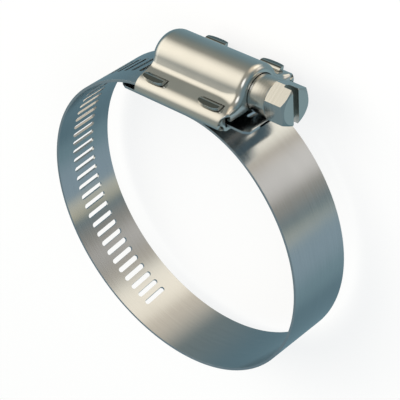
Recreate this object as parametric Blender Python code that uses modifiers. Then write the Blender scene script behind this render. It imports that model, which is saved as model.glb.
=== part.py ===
"""A worm drive hose clamp for a 72 mm hose, lying on its side.

Four pieces: the slotted band, the pressed housing, the folded saddle whose lugs clench
the housing, and the worm screw. Lengths are in metres. The pieces are drawn about the
centre of the ring of band: +X runs along the screw towards its head, +Y from the ring's
centre to the housing, +Z along the hose. An empty then carries them all, so that the
part's origin is under the middle of its bounding box.
"""

from math import acos, atan2, cos, pi, radians, sin, sqrt, tan

import bmesh
import bpy
import numpy as np
from mathutils import Euler, Matrix, Vector

MM = 0.001

# Fits
CLEARANCE = 0.3 * MM            # between pieces that touch on the real clamp
CUT_OVERRUN = 1.0 * MM          # how far a cutter reaches past what it cuts

# Band
HOSE_RADIUS = 35.7 * MM
BAND_THICKNESS = 0.6 * MM
BAND_WIDTH = 16.0 * MM
SEAT_DROP = 2.8 * MM            # the flat under the housing lies this far inside the hose circle
INNER_SHOULDER = 26.0 * MM      # bend where the inner end leaves its flat
OUTER_SHOULDER = 20.0 * MM      # bend where the slotted end reaches its flat
TONGUE_REACH = 11.5 * MM        # inner end, from the middle of the ring
TAIL_REACH = 24.7 * MM          # slotted end, from the middle of the ring
END_CHAMFER = (1.4 * MM, 0.7 * MM)  # corner cut off both ends, along the band and across it
SLOT_COUNT = 47
SLOT_PITCH = 2.56 * MM          # also the lead of the worm
SLOT_LENGTH = 6.7 * MM
SLOT_WIDTH = 1.2 * MM
FIRST_SLOT = 3.7 * MM           # from the tip of the tail

# Worm screw
WORM_RADIUS = 4.85 * MM
THREAD_DEPTH = 1.2 * MM
CREST_WIDTH = 0.5 * MM
THREAD_FLANK = radians(16)      # slope of the thread's sides
THREAD_SUNK = 0.3 * MM          # how far the ridge's foot lies inside the core
THREAD_FADE = 1 / 3             # share of a turn over which it rises at either end
WORM_ENGAGEMENT = 0.45 * MM     # how deep the thread reaches into the slots
NECK_WIDTH = 0.8 * MM           # undercut between the thread and the collar
JOURNAL_RADIUS = 2.4 * MM
JOURNAL_LENGTH = 2.1 * MM
COLLAR_RADIUS = 4.1 * MM
COLLAR_INSIDE = 1.0 * MM        # how far the collar reaches into the housing
COLLAR_END = 25.7 * MM          # where the collar meets the hexagon
HEX_ACROSS_FLATS = 8.0 * MM
HEX_LENGTH = 4.95 * MM
HEX_TURN = radians(35)          # how the hexagon happens to stand
DRIVER_SLOT_WIDTH = 1.65 * MM
DRIVER_SLOT_DEPTH = 2.3 * MM
SCREW_EDGE = 0.3 * MM           # chamfer of journal and collar, and of the hexagon's faces
HEX_CHAMFER = radians(30)       # slope at which the hexagon's corners are turned off

# Housing
HOUSING_SHEET = 0.75 * MM
WORM_ROOM = 0.3 * MM            # between the thread's crest and the barrel
BARREL_END = -4.8 * MM          # outer face of the closed end
BARREL_END_ROUND = 2.9 * MM
DOME_FOOT_LIFT = 0.6 * MM       # between the band and the closed end's lower edge
FLANGE_END = -3.1 * MM
HEAD_END = 21.3 * MM            # outer face of the end wall at the screw's head
HEAD_END_ROUND = 1.5 * MM
HEAD_ARCH_LIFT = 2.0 * MM       # between the band and the head end wall's lower edge
RAIL_END = 18.7 * MM
COLLAR_ROOM = 0.15 * MM         # round the collar in its hole
FLANGE_SLOPE = radians(16)
FOOT_ROUND = 0.8 * MM           # hollow fillet between barrel and flange
FLARE_ROUND = 3.4 * MM          # the same fillet at the head's end wall
FLARE_LENGTH = 4.0 * MM
RAIL_GAP = 1.9 * MM             # between the saddle's wall and the skirt
RAIL_DROP = 2.83 * MM           # centre of the rail's round shoulder below the screw's axis
RAIL_ROUND = 2.3 * MM
SKIRT_HEIGHT = 3.47 * MM
CURL_ROUND = 0.9 * MM
CURL_LIP = 0.3 * MM

# Saddle
SADDLE_SHEET = 0.8 * MM
SADDLE_BEND = 0.5 * MM          # inner radius of its folds
SADDLE_END = 19.0 * MM
LUG_LENGTH = 5.6 * MM
LUG_CENTRES = (0.8 * MM, 16.2 * MM)
LUG_OVERHANG = 1.4 * MM         # beyond the saddle's wall
LUG_CORNER = (2.4 * MM, 0.8 * MM)   # radii of its round corners, along and across
LUG_BEND = 0.35 * MM
LUG_GAP = 0.15 * MM             # to the flange under it, and round it in its slot

# Heights above the ring's centre, in a stack from the hose outwards
INNER_FLAT = HOSE_RADIUS - SEAT_DROP + BAND_THICKNESS / 2
SADDLE_FLOOR = INNER_FLAT + BAND_THICKNESS / 2 + CLEARANCE
OUTER_FLAT = SADDLE_FLOOR + SADDLE_SHEET + CLEARANCE + BAND_THICKNESS / 2
BAND_TOP = OUTER_FLAT + BAND_THICKNESS / 2
SCREW_AXIS = BAND_TOP - WORM_ENGAGEMENT + WORM_RADIUS

BARREL_RADIUS = WORM_RADIUS + WORM_ROOM + HOUSING_SHEET
WALL_INSIDE = BAND_WIDTH / 2 + CLEARANCE
WALL_OUTSIDE = WALL_INSIDE + SADDLE_SHEET
HALF_WIDTH = WALL_OUTSIDE + RAIL_GAP + HOUSING_SHEET
RING_RADIUS = HOSE_RADIUS + BAND_THICKNESS / 2

# Facets
RING_STEP = radians(4)
BEND_STEPS = 4
BARREL_STEPS = 9
FOOT_STEPS = 4
RIM_STEPS = 11                  # columns of the end wall that end on the screw's hole
SPLIT_COLUMN = BARREL_STEPS + FOOT_STEPS + 1
PATCH_ROWS = 3                  # sections along a short patch of the housing
FLARE_ROWS = 4
SLOT_END_STEPS = 5
ROUND_STEPS = 32                # round one turn of anything turned, or of the thread
SHARP_FOLD = radians(35)        # folded sheet is smooth up to this angle
SHARP_CUT = radians(25)         # turned and slotted pieces up to this one
MERGE = 0.002 * MM
MIRROR_MERGE = 0.01 * MM


def clear_scene():
    """Remove whatever the scene holds."""
    for obj in list(bpy.data.objects):
        bpy.data.objects.remove(obj, do_unlink=True)


def new_collection(name):
    """An empty collection of that name, in the scene."""
    collection = bpy.data.collections.get(name) or bpy.data.collections.new(name)
    if name not in bpy.context.scene.collection.children:
        bpy.context.scene.collection.children.link(collection)
    return collection


def metal(name, colour, roughness):
    """A bare metal of one colour, given in linear values."""
    material = bpy.data.materials.new(name)
    material.use_nodes = True
    shader = material.node_tree.nodes["Principled BSDF"]
    shader.inputs["Base Color"].default_value = (*colour, 1.0)
    shader.inputs["Metallic"].default_value = 1.0
    shader.inputs["Roughness"].default_value = roughness
    material.diffuse_color = (*colour, 1.0)
    return material


def new_object(name, bm, collection, parent=None, material=None):
    """The bmesh as a named object that hangs on the parent."""
    mesh = bpy.data.meshes.new(name)
    bm.to_mesh(mesh)
    bm.free()
    obj = bpy.data.objects.new(name, mesh)
    collection.objects.link(obj)
    obj.parent = parent
    if material:
        mesh.materials.append(material)
    return obj


def hide_cutter(obj):
    """Keep a cutter out of renders, and draw it as lines."""
    obj.hide_render = True
    obj.display_type = "WIRE"


def shade(obj, angle):
    """Smooth shading, with edges above the angle left sharp."""
    obj.data.shade_smooth()
    obj.data.set_sharp_from_angle(angle=angle)


def add_solidify(obj, thickness, offset):
    """Give a sheet its thickness: offset -1 is behind its face, 0 on both sides."""
    modifier = obj.modifiers.new("sheet", "SOLIDIFY")
    modifier.thickness = thickness
    modifier.offset = offset
    modifier.use_even_offset = True


def add_boolean(obj, cutter, operation):
    """Cut or join another object."""
    modifier = obj.modifiers.new(operation.lower(), "BOOLEAN")
    modifier.operation = operation
    modifier.object = cutter
    modifier.solver = "EXACT"


def add_mirror(obj):
    """Mirror across the clamp's middle plane, z = 0."""
    modifier = obj.modifiers.new("both_sides", "MIRROR")
    modifier.use_axis = (False, False, True)
    modifier.use_clip = True
    modifier.merge_threshold = MIRROR_MERGE


def add_grid(bm, points):
    """Join rows of points, an array (rows, columns, 3), into a sheet of quads."""
    rows = [[bm.verts.new(point) for point in row] for row in points]
    for row, after in zip(rows, rows[1:]):
        for k in range(len(row) - 1):
            bm.faces.new((row[k], row[k + 1], after[k + 1], after[k]))


def finish_sheet(bm, probe):
    """Merge the patches of a sheet and face it outwards, as the face nearest probe along +Y."""
    bmesh.ops.remove_doubles(bm, verts=bm.verts, dist=MERGE)
    bmesh.ops.recalc_face_normals(bm, faces=bm.faces)
    nearest = min(bm.faces, key=lambda face: (face.calc_center_median() - Vector(probe)).length)
    if nearest.normal.y < 0:
        bmesh.ops.reverse_faces(bm, faces=bm.faces)


def arc(centre, radius, start, stop, steps):
    """Points of an arc, its angles measured from +Y towards +Z, as rows of (y, z)."""
    angles = np.linspace(start, stop, steps + 1)
    return np.stack([centre[0] + radius * np.cos(angles), centre[1] + radius * np.sin(angles)], 1)


# The band's centreline


def shoulder(flat, radius):
    """Where an arc of that radius joins a flat at that height to the ring: the arc's centre
    beside the middle, and its angle round the ring's centre, from +X."""
    reach = sqrt((RING_RADIUS - radius) ** 2 - (flat - radius) ** 2)
    return reach, atan2(flat - radius, reach)


def band_pieces():
    """The centreline from the inner end to the tail, as (length, turn, function): how long a
    piece is, through what angle it bends, and its point and direction at a distance."""
    inner_x, inner_angle = shoulder(INNER_FLAT, INNER_SHOULDER)
    outer_x, outer_angle = shoulder(OUTER_FLAT, OUTER_SHOULDER)
    ring_end = pi - outer_angle

    def straight(start_x, height, length):
        return length, 0.0, lambda s: ((start_x + s, height), (1.0, 0.0))

    def clockwise(centre_x, centre_y, radius, start, turn):
        def at(s):
            angle = start - s / radius
            point = (centre_x + radius * cos(angle), centre_y + radius * sin(angle))
            return point, (sin(angle), -cos(angle))
        return radius * turn, turn, at

    return [
        straight(-TONGUE_REACH, INNER_FLAT, TONGUE_REACH + inner_x),
        clockwise(inner_x, INNER_FLAT - INNER_SHOULDER, INNER_SHOULDER, pi / 2,
                  pi / 2 - inner_angle),
        clockwise(0.0, 0.0, RING_RADIUS, inner_angle, 2 * pi + inner_angle - ring_end),
        clockwise(-outer_x, OUTER_FLAT - OUTER_SHOULDER, OUTER_SHOULDER, ring_end,
                  ring_end - pi / 2),
        straight(-outer_x, OUTER_FLAT, TAIL_REACH + outer_x),
    ]


def band_point(distance):
    """The point and the direction of travel at a distance from the inner end."""
    pieces = band_pieces()
    for length, _, at in pieces[:-1]:
        if distance <= length:
            return at(distance)
        distance -= length
    return pieces[-1][2](distance)


def band_length():
    """Developed length of the strip."""
    return sum(length for length, _, _ in band_pieces())


def band_stations():
    """Distances along the strip at which its sheet bends or its edge has a corner."""
    stations = [0.0, END_CHAMFER[0]]
    done = 0.0
    for length, turn, _ in band_pieces():
        steps = max(1, round(turn / RING_STEP))
        stations += [done + length * k / steps for k in range(1, steps + 1)]
        done += length
    stations.insert(-1, done - END_CHAMFER[0])
    return stations


def slot_outline():
    """A slot's outline with round ends, long across the band, leaning with the worm's thread."""
    half = SLOT_LENGTH / 2 - SLOT_WIDTH / 2
    turns = np.linspace(0, pi, SLOT_END_STEPS + 1)
    upper = np.stack([SLOT_WIDTH / 2 * np.cos(turns), half + SLOT_WIDTH / 2 * np.sin(turns)], 1)
    outline = np.vstack([upper, -upper])
    lean = SLOT_PITCH / (2 * pi * (WORM_RADIUS - WORM_ENGAGEMENT))
    outline[:, 0] -= outline[:, 1] * lean
    return outline


def make_slot_cutter(cutters, frame):
    """One prism for each slot, standing square to the band."""
    bm = bmesh.new()
    outline = slot_outline()
    for k in range(SLOT_COUNT):
        (x, y), (tx, ty) = band_point(band_length() - FIRST_SLOT - k * SLOT_PITCH)
        rings = []
        for side in (-1, 1):
            out = side * (BAND_THICKNESS / 2 + CLEARANCE / 2)
            rings.append([
                bm.verts.new((x + tx * along - ty * out, y + ty * along + tx * out, across))
                for along, across in outline
            ])
        lower, upper = rings
        bm.faces.new(lower[::-1])
        bm.faces.new(upper)
        for j in range(len(lower)):
            after = (j + 1) % len(lower)
            bm.faces.new((lower[j], lower[after], upper[after], upper[j]))
    bmesh.ops.recalc_face_normals(bm, faces=bm.faces)
    cutter = new_object("slot_cutter", bm, cutters, frame)
    hide_cutter(cutter)
    return cutter


def make_band(parts, cutters, frame):
    """The strip, bent once round the hose, with its slots."""
    places = [band_point(distance)[0] for distance in band_stations()]
    halves = np.full(len(places), BAND_WIDTH / 2)
    halves[[0, -1]] -= END_CHAMFER[1]
    rows = [[(x, y, -half), (x, y, half)] for (x, y), half in zip(places, halves)]
    bm = bmesh.new()
    add_grid(bm, rows)
    bmesh.ops.recalc_face_normals(bm, faces=bm.faces)
    band = new_object("band", bm, parts, frame, metal("band_steel", (0.56, 0.57, 0.56), 0.32))
    add_solidify(band, BAND_THICKNESS, 0.0)
    add_boolean(band, make_slot_cutter(cutters, frame), "DIFFERENCE")
    shade(band, SHARP_CUT)
    return band


# The housing's outer face, as sections across the screw


def flange_normal():
    """Unit vector out of the flange's upper face, as (y, z)."""
    return np.array([cos(FLANGE_SLOPE), sin(FLANGE_SLOPE)])


def rail_centre():
    """Centre of the round shoulder between flange and skirt, as (y, z)."""
    return np.array([SCREW_AXIS - RAIL_DROP, HALF_WIDTH - RAIL_ROUND])


def flange_height(across):
    """Height of the flange's upper face at a distance from the middle plane."""
    normal = flange_normal()
    return (rail_centre() @ normal + RAIL_ROUND - normal[1] * across) / normal[0]


def wall_split():
    """Where the flange's part over the saddle's wall ends: inside it the end wall hangs."""
    return WALL_OUTSIDE + CLEARANCE


def housing_section(radius, foot_round):
    """Half of the outer section, from the barrel's crest out to the skirt's curled lip, as
    rows of (y, z), with the outward normals. The fillet's centre lies foot_round above the
    flange's face and radius + foot_round from the axis."""
    axis = np.array([SCREW_AXIS, 0.0])
    normal = flange_normal()
    along = np.array([-normal[1], normal[0]])
    up = rail_centre() @ normal + RAIL_ROUND + foot_round - axis @ normal
    centre = axis + up * normal + sqrt((radius + foot_round) ** 2 - up**2) * along
    foot_angle = atan2(centre[1], centre[0] - SCREW_AXIS)
    barrel = arc(axis, radius, 0.0, foot_angle, BARREL_STEPS)
    foot = arc(centre, foot_round, foot_angle + pi, FLANGE_SLOPE + pi, FOOT_STEPS)
    split = np.array([flange_height(wall_split()), wall_split()])
    shoulder_arc = arc(rail_centre(), RAIL_ROUND, FLANGE_SLOPE, pi / 2, BEND_STEPS)
    skirt_foot = SCREW_AXIS - RAIL_DROP + RAIL_ROUND - SKIRT_HEIGHT
    curl_centre = (skirt_foot + CURL_ROUND, HALF_WIDTH - CURL_ROUND)
    curl = arc(curl_centre, CURL_ROUND, pi / 2, pi, BEND_STEPS)
    lip = curl[-1] - (0.0, CURL_LIP)
    points = np.vstack([barrel, foot[1:], split[None], shoulder_arc, curl, lip[None]])
    normals = np.vstack([
        (barrel - axis) / radius,
        (centre - foot[1:]) / foot_round,
        normal[None],
        (shoulder_arc - rail_centre()) / RAIL_ROUND,
        (curl - curl_centre) / CURL_ROUND,
        [[-1.0, 0.0]],
    ])
    return points, normals


def lift(section, x):
    """The section's rows of (y, z) as points of the part, at one or more x."""
    return np.column_stack([np.broadcast_to(x, len(section)), section])


def barrel_end_sizes(turn):
    """Place and radius of the barrel part-way round its closed end's edge."""
    return (
        BARREL_END + BARREL_END_ROUND * (1 - sin(turn)),
        BARREL_RADIUS - BARREL_END_ROUND * (1 - cos(turn)),
    )


def main_patch():
    """Barrel, flange and skirt, from the flange's free end to the rail's."""
    flange_turn = np.arcsin(1 - (FLANGE_END - BARREL_END) / BARREL_END_ROUND)
    head = HEAD_END - HEAD_END_ROUND
    rows = []
    for turn in np.linspace(flange_turn, 0, PATCH_ROWS):
        x, radius = barrel_end_sizes(turn)
        rows.append(lift(housing_section(radius, FOOT_ROUND)[0], x))
    for x in np.linspace(head - FLARE_LENGTH, RAIL_END, FLARE_ROWS):
        rows.append(lift(flared_section(x)[0], x))
    return rows


def flared_section(x):
    """The section near the head, where the hollow fillet opens out towards the end wall."""
    share = 1 - (HEAD_END - HEAD_END_ROUND - x) / FLARE_LENGTH
    return housing_section(BARREL_RADIUS, FOOT_ROUND + (FLARE_ROUND - FOOT_ROUND) * share**2)


def neck_patch():
    """Barrel and inner flange between the rails' ends and the rounding at the head."""
    places = np.linspace(RAIL_END, HEAD_END - HEAD_END_ROUND, PATCH_ROWS)
    return [lift(flared_section(x)[0][: SPLIT_COLUMN + 1], x) for x in places]


def head_wall_patch():
    """From the rounding at the head, round into the end wall and in to its lower edge: a
    hole round the collar, and a straight edge that bridges the band."""
    points, normals = housing_section(BARREL_RADIUS, FLARE_ROUND)
    points, normals = points[: SPLIT_COLUMN + 1], normals[: SPLIT_COLUMN + 1]
    rows = []
    for turn in np.linspace(0, pi / 2, BEND_STEPS + 1):
        inset = points - normals * HEAD_END_ROUND * (1 - cos(turn))
        rows.append(lift(inset, HEAD_END - HEAD_END_ROUND * (1 - sin(turn))))
    edge_height = BAND_TOP + HEAD_ARCH_LIFT
    hole = COLLAR_RADIUS + COLLAR_ROOM
    rim = arc((SCREW_AXIS, 0.0), hole, 0.0, acos((edge_height - SCREW_AXIS) / hole), RIM_STEPS)
    share = np.linspace(0, 1, SPLIT_COLUMN - RIM_STEPS + 1)[1:, None]
    corner = np.array([edge_height, rows[-1][-1][2]])
    rows.append(lift(np.vstack([rim, rim[-1] + (corner - rim[-1]) * share]), HEAD_END))
    return rows


def closed_end_patch():
    """The barrel's closed end beyond the flange: its round edge and the wall under it, down
    to just above the band. Returns the rows and the outline of the flat wall."""
    flange_turn = np.arcsin(1 - (FLANGE_END - BARREL_END) / BARREL_END_ROUND)
    foot_height = BAND_TOP + DOME_FOOT_LIFT
    start = housing_section(barrel_end_sizes(flange_turn)[1], FOOT_ROUND)[0][: BARREL_STEPS + 1]
    angles = np.arctan2(start[:, 1], start[:, 0] - SCREW_AXIS)
    rows = []
    for turn in np.linspace(flange_turn, pi / 2, BEND_STEPS + 1):
        x, radius = barrel_end_sizes(turn)
        upper = np.stack([SCREW_AXIS + radius * np.cos(angles), radius * np.sin(angles)], 1)
        lower = [(SCREW_AXIS, radius), (foot_height, radius)]
        rows.append(lift(np.vstack([upper, lower]), x))
    return rows, [*rows[-1], (BARREL_END, foot_height, 0.0)]


def lug_span(centre):
    """The two sides of a lug."""
    return centre - LUG_LENGTH / 2, centre + LUG_LENGTH / 2


def make_lug_slot_cutter(cutters, frame):
    """A block for each slot that a lug comes up through. On the side that the lug is bent
    to, the slot is wider, for the bend."""
    slot = (WALL_INSIDE - LUG_GAP, wall_split())
    across = sum(slot) / 2
    size = Vector((LUG_LENGTH + 2 * LUG_GAP, 3 * HOUSING_SHEET + CUT_OVERRUN, slot[1] - slot[0]))
    bm = bmesh.new()
    for side in (-1, 1):
        for centre in LUG_CENTRES:
            place = Vector((centre, flange_height(across) - HOUSING_SHEET / 2, side * across))
            bmesh.ops.create_cube(bm, size=1.0, matrix=Matrix.LocRotScale(place, None, size))
    cutter = new_object("lug_slot_cutter", bm, cutters, frame)
    hide_cutter(cutter)
    return cutter


def make_housing(parts, cutters, frame):
    """The pressed shell over the worm: half of its outer face, mirrored, given its sheet
    inwards, with slots for the lugs."""
    bm = bmesh.new()
    add_grid(bm, main_patch())
    add_grid(bm, neck_patch())
    add_grid(bm, head_wall_patch())
    rows, end_wall = closed_end_patch()
    add_grid(bm, rows)
    bm.faces.new([bm.verts.new(point) for point in end_wall])
    finish_sheet(bm, (0.0, SCREW_AXIS + BARREL_RADIUS, 0.0))
    housing = new_object("housing", bm, parts, frame, metal("pressed_steel", (0.6, 0.59, 0.55), 0.22))
    add_mirror(housing)
    add_solidify(housing, HOUSING_SHEET, -1.0)
    add_boolean(housing, make_lug_slot_cutter(cutters, frame), "DIFFERENCE")
    shade(housing, SHARP_FOLD)
    return housing


# The saddle's lower and outer face, as a section across the screw


def saddle_section(with_lug, lug_edge):
    """Half of the section, from the middle of the floor up the wall, as rows of (y, z). A lug
    goes on up through the flange and bends down on to its slope, out to lug_edge."""
    bend = SADDLE_BEND + SADDLE_SHEET
    floor_bend = arc((SADDLE_FLOOR + bend, WALL_OUTSIDE - bend), bend, pi, pi / 2, BEND_STEPS)
    wall_top = flange_height(WALL_OUTSIDE) - HOUSING_SHEET / cos(FLANGE_SLOPE) - CLEARANCE
    points = [[(SADDLE_FLOOR, 0.0)], floor_bend, [(wall_top, WALL_OUTSIDE)]]
    if with_lug:
        lift_off = LUG_GAP / cos(FLANGE_SLOPE)
        bend_end = WALL_OUTSIDE + LUG_BEND * (1 + sin(FLANGE_SLOPE))
        centre = (flange_height(bend_end) + lift_off - LUG_BEND * cos(FLANGE_SLOPE),
                  WALL_OUTSIDE + LUG_BEND)
        points += [arc(centre, LUG_BEND, -pi / 2, FLANGE_SLOPE, BEND_STEPS),
                   [(flange_height(lug_edge) + lift_off, lug_edge)]]
    return np.vstack(points)


def lug_row(start, stop, x):
    """The lug's section at x, its free corners rounded."""
    along, across = LUG_CORNER
    share = 1 - min(x - start, stop - x, along) / along
    fall = across * (1 - sqrt(max(0.0, 1 - share**2)))
    return lift(saddle_section(True, WALL_OUTSIDE + LUG_OVERHANG - fall), x)


def make_saddle(parts, frame):
    """The folded channel under the band, whose four lugs clench the housing's flanges."""
    bm = bmesh.new()
    spans = [lug_span(centre) for centre in LUG_CENTRES]
    corner = LUG_CORNER[0] * (1 - np.cos(np.linspace(0, pi / 2, BEND_STEPS + 1)))
    for start, stop in spans:
        places = np.concatenate([start + corner, (stop - corner)[::-1]])
        add_grid(bm, [lug_row(start, stop, x) for x in places])
    plain = saddle_section(False, 0.0)
    add_grid(bm, [lift(plain, spans[0][1]), lift(plain, spans[1][0])])
    add_grid(bm, [lift(plain, spans[1][1]), lift(plain, SADDLE_END)])
    finish_sheet(bm, (LUG_CENTRES[0], SADDLE_FLOOR, 0.0))
    bmesh.ops.reverse_faces(bm, faces=bm.faces)
    saddle = new_object("saddle", bm, parts, frame, metal("saddle_steel", (0.55, 0.55, 0.54), 0.28))
    add_mirror(saddle)
    add_solidify(saddle, SADDLE_SHEET, -1.0)
    shade(saddle, SHARP_FOLD)
    return saddle


# The screw, turned about its own z


def worm_ends():
    """Where the journal, the thread, the neck and the collar start, from the housing's two
    inner faces."""
    journal_tip = BARREL_END + HOUSING_SHEET + CLEARANCE
    collar_start = HEAD_END - HOUSING_SHEET - COLLAR_INSIDE
    return journal_tip, journal_tip + JOURNAL_LENGTH, collar_start - NECK_WIDTH, collar_start


def make_screw_blank(parts, frame):
    """Journal, core and collar, as one turned profile."""
    journal_tip, thread_start, _, collar_start = worm_ends()
    core = WORM_RADIUS - THREAD_DEPTH
    edge = SCREW_EDGE
    head = COLLAR_END + HEX_LENGTH / 2
    profile = [
        (head, 0.0), (head, HEX_ACROSS_FLATS / 2 - edge),
        (COLLAR_END, HEX_ACROSS_FLATS / 2 - edge),
        (COLLAR_END, COLLAR_RADIUS - edge), (COLLAR_END - edge, COLLAR_RADIUS),
        (collar_start, COLLAR_RADIUS), (collar_start, core), (thread_start, core),
        (thread_start, JOURNAL_RADIUS), (journal_tip + edge, JOURNAL_RADIUS),
        (journal_tip, JOURNAL_RADIUS - edge), (journal_tip, 0.0),
    ]
    bm = bmesh.new()
    vertices = [bm.verts.new((radius, 0.0, x)) for x, radius in profile]
    edges = [bm.edges.new(pair) for pair in zip(vertices, vertices[1:])]
    bmesh.ops.spin(bm, geom=vertices + edges, axis=(0, 0, 1), cent=(0, 0, 0), dvec=(0, 0, 0),
                   angle=2 * pi, steps=ROUND_STEPS, use_merge=True)
    bmesh.ops.remove_doubles(bm, verts=bm.verts, dist=MERGE)
    bmesh.ops.recalc_face_normals(bm, faces=bm.faces)
    screw = new_object("worm_screw", bm, parts, frame, metal("screw_steel", (0.62, 0.61, 0.57), 0.25))
    screw.location = (0.0, SCREW_AXIS, 0.0)
    screw.rotation_euler = Euler((0.0, pi / 2, 0.0))
    return screw


def make_thread(cutters, screw):
    """The worm's ridge, a trapezium carried along a right-hand helix, which rises out of the
    core at either end. At the bottom of the screw its crest stands in the middle of the
    band's slots."""
    _, thread_start, thread_end, _ = worm_ends()
    bottom_turn = -pi / 2           # from local X towards Y, where the ridge points down
    phase = TAIL_REACH - FIRST_SLOT - SLOT_PITCH * bottom_turn / (2 * pi)
    base = WORM_RADIUS - THREAD_DEPTH - THREAD_SUNK
    half_crest = CREST_WIDTH / 2
    half_base = half_crest + (THREAD_DEPTH + THREAD_SUNK) * tan(THREAD_FLANK)
    start = (thread_start + half_base - phase) / SLOT_PITCH
    stop = (thread_end - half_base - phase) / SLOT_PITCH
    bm = bmesh.new()
    rings = []
    for turns in np.append(np.arange(start, stop, 1 / ROUND_STEPS), stop):
        rise = min(1.0, (turns - start) / THREAD_FADE, (stop - turns) / THREAD_FADE)
        crest = base + THREAD_SUNK / 2 + (THREAD_SUNK / 2 + THREAD_DEPTH) * rise
        corners = (
            (base, -half_base), (crest, -half_crest), (crest, half_crest), (base, half_base),
        )
        across = Vector((cos(2 * pi * turns), sin(2 * pi * turns), 0.0))
        along = phase + SLOT_PITCH * turns
        rings.append([
            bm.verts.new(across * radius + Vector((0.0, 0.0, along + offset)))
            for radius, offset in corners
        ])
    for ring, after in zip(rings, rings[1:]):
        for j in range(4):
            bm.faces.new((ring[j], ring[(j + 1) % 4], after[(j + 1) % 4], after[j]))
    bm.faces.new(rings[0])
    bm.faces.new(rings[-1])
    bmesh.ops.recalc_face_normals(bm, faces=bm.faces)
    thread = new_object("worm_thread", bm, cutters, screw)
    hide_cutter(thread)
    return thread


def make_hexagon(cutters, screw):
    """The six-sided head, its corners turned off at both ends."""
    corner = HEX_ACROSS_FLATS / 2 / cos(pi / 6)
    middle = Vector((0.0, 0.0, COLLAR_END + HEX_LENGTH / 2))
    bm = bmesh.new()
    bmesh.ops.create_cone(bm, cap_ends=True, segments=6, radius1=corner, radius2=corner,
                          depth=HEX_LENGTH, matrix=Matrix.Translation(middle)
                          @ Matrix.Rotation(HEX_TURN, 4, "Z"))
    hexagon = new_object("hexagon", bm, cutters, screw)
    hide_cutter(hexagon)
    slope = tan(HEX_CHAMFER)
    front = COLLAR_END + HEX_LENGTH
    face = HEX_ACROSS_FLATS / 2 - SCREW_EDGE
    reach = corner + CUT_OVERRUN
    profile = [
        (front, 0.0), (front, face), (front - (reach - face) * slope, reach),
        (COLLAR_END + (reach - HEX_ACROSS_FLATS / 2) * slope, reach),
        (COLLAR_END, HEX_ACROSS_FLATS / 2), (COLLAR_END, 0.0),
    ]
    bm = bmesh.new()
    vertices = [bm.verts.new((radius, 0.0, x)) for x, radius in profile]
    edges = [bm.edges.new(pair) for pair in zip(vertices, vertices[1:])]
    bmesh.ops.spin(bm, geom=vertices + edges, axis=(0, 0, 1), cent=(0, 0, 0), dvec=(0, 0, 0),
                   angle=2 * pi, steps=ROUND_STEPS, use_merge=True)
    bmesh.ops.remove_doubles(bm, verts=bm.verts, dist=MERGE)
    bmesh.ops.recalc_face_normals(bm, faces=bm.faces)
    turned = new_object("hexagon_turning", bm, cutters, screw)
    hide_cutter(turned)
    add_boolean(hexagon, turned, "INTERSECT")
    return hexagon


def make_driver_slot(cutters, screw):
    """The screwdriver's slot across the head."""
    depth = DRIVER_SLOT_DEPTH + CUT_OVERRUN
    place = Vector((0.0, 0.0, COLLAR_END + HEX_LENGTH - DRIVER_SLOT_DEPTH + depth / 2))
    size = Vector((DRIVER_SLOT_WIDTH, 2 * HEX_ACROSS_FLATS, depth))
    bm = bmesh.new()
    bmesh.ops.create_cube(bm, size=1.0, matrix=Matrix.LocRotScale(place, None, size))
    cutter = new_object("driver_slot_cutter", bm, cutters, screw)
    hide_cutter(cutter)
    return cutter


def make_worm_screw(parts, cutters, frame):
    """The turned blank with its thread and head joined on, and the driver's slot cut."""
    screw = make_screw_blank(parts, frame)
    add_boolean(screw, make_thread(cutters, screw), "UNION")
    add_boolean(screw, make_hexagon(cutters, screw), "UNION")
    add_boolean(screw, make_driver_slot(cutters, screw), "DIFFERENCE")
    shade(screw, SHARP_CUT)
    return screw


def main():
    """Build the four pieces under one empty."""
    clear_scene()
    parts = new_collection("hose_clamp")
    cutters = new_collection("cutters")
    frame = bpy.data.objects.new("clamp_frame", None)
    parts.objects.link(frame)
    ring_outside = RING_RADIUS + BAND_THICKNESS / 2
    frame.location = (0.0, (ring_outside - SCREW_AXIS - BARREL_RADIUS) / 2, HALF_WIDTH)
    make_band(parts, cutters, frame)
    make_housing(parts, cutters, frame)
    make_saddle(parts, frame)
    make_worm_screw(parts, cutters, frame)


main()
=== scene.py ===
"""A worm drive hose clamp of stainless steel, lying on its side in a light studio.

The four pieces stand for the four solids of the clamp. Their shapes are worked out in
millimetres about the middle of the ring: +X along the screw towards its head, +Y from the
ring to the housing, +Z along the hose.
"""

from math import acos, atan2, cos, pi, radians, sin, sqrt, tan

import bmesh
import bpy
import numpy as np
from bpy.props import FloatProperty, FloatVectorProperty, PointerProperty
from mathutils import Matrix, Vector


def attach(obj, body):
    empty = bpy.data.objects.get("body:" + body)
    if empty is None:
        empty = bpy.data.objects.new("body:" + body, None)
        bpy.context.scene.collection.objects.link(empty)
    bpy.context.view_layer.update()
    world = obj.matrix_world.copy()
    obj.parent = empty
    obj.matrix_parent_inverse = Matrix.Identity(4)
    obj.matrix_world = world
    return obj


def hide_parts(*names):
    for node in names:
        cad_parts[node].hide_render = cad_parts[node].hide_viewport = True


bl_info = {
    "name": "Worm drive hose clamp",
    "version": (1, 0, 0),
    "blender": (4, 5, 0),
    "location": "3D View > Sidebar > Hose Clamp",
    "description": "Builds the four steel pieces of a hose clamp and the stage they lie on",
    "category": "Add Mesh",
}

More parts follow.
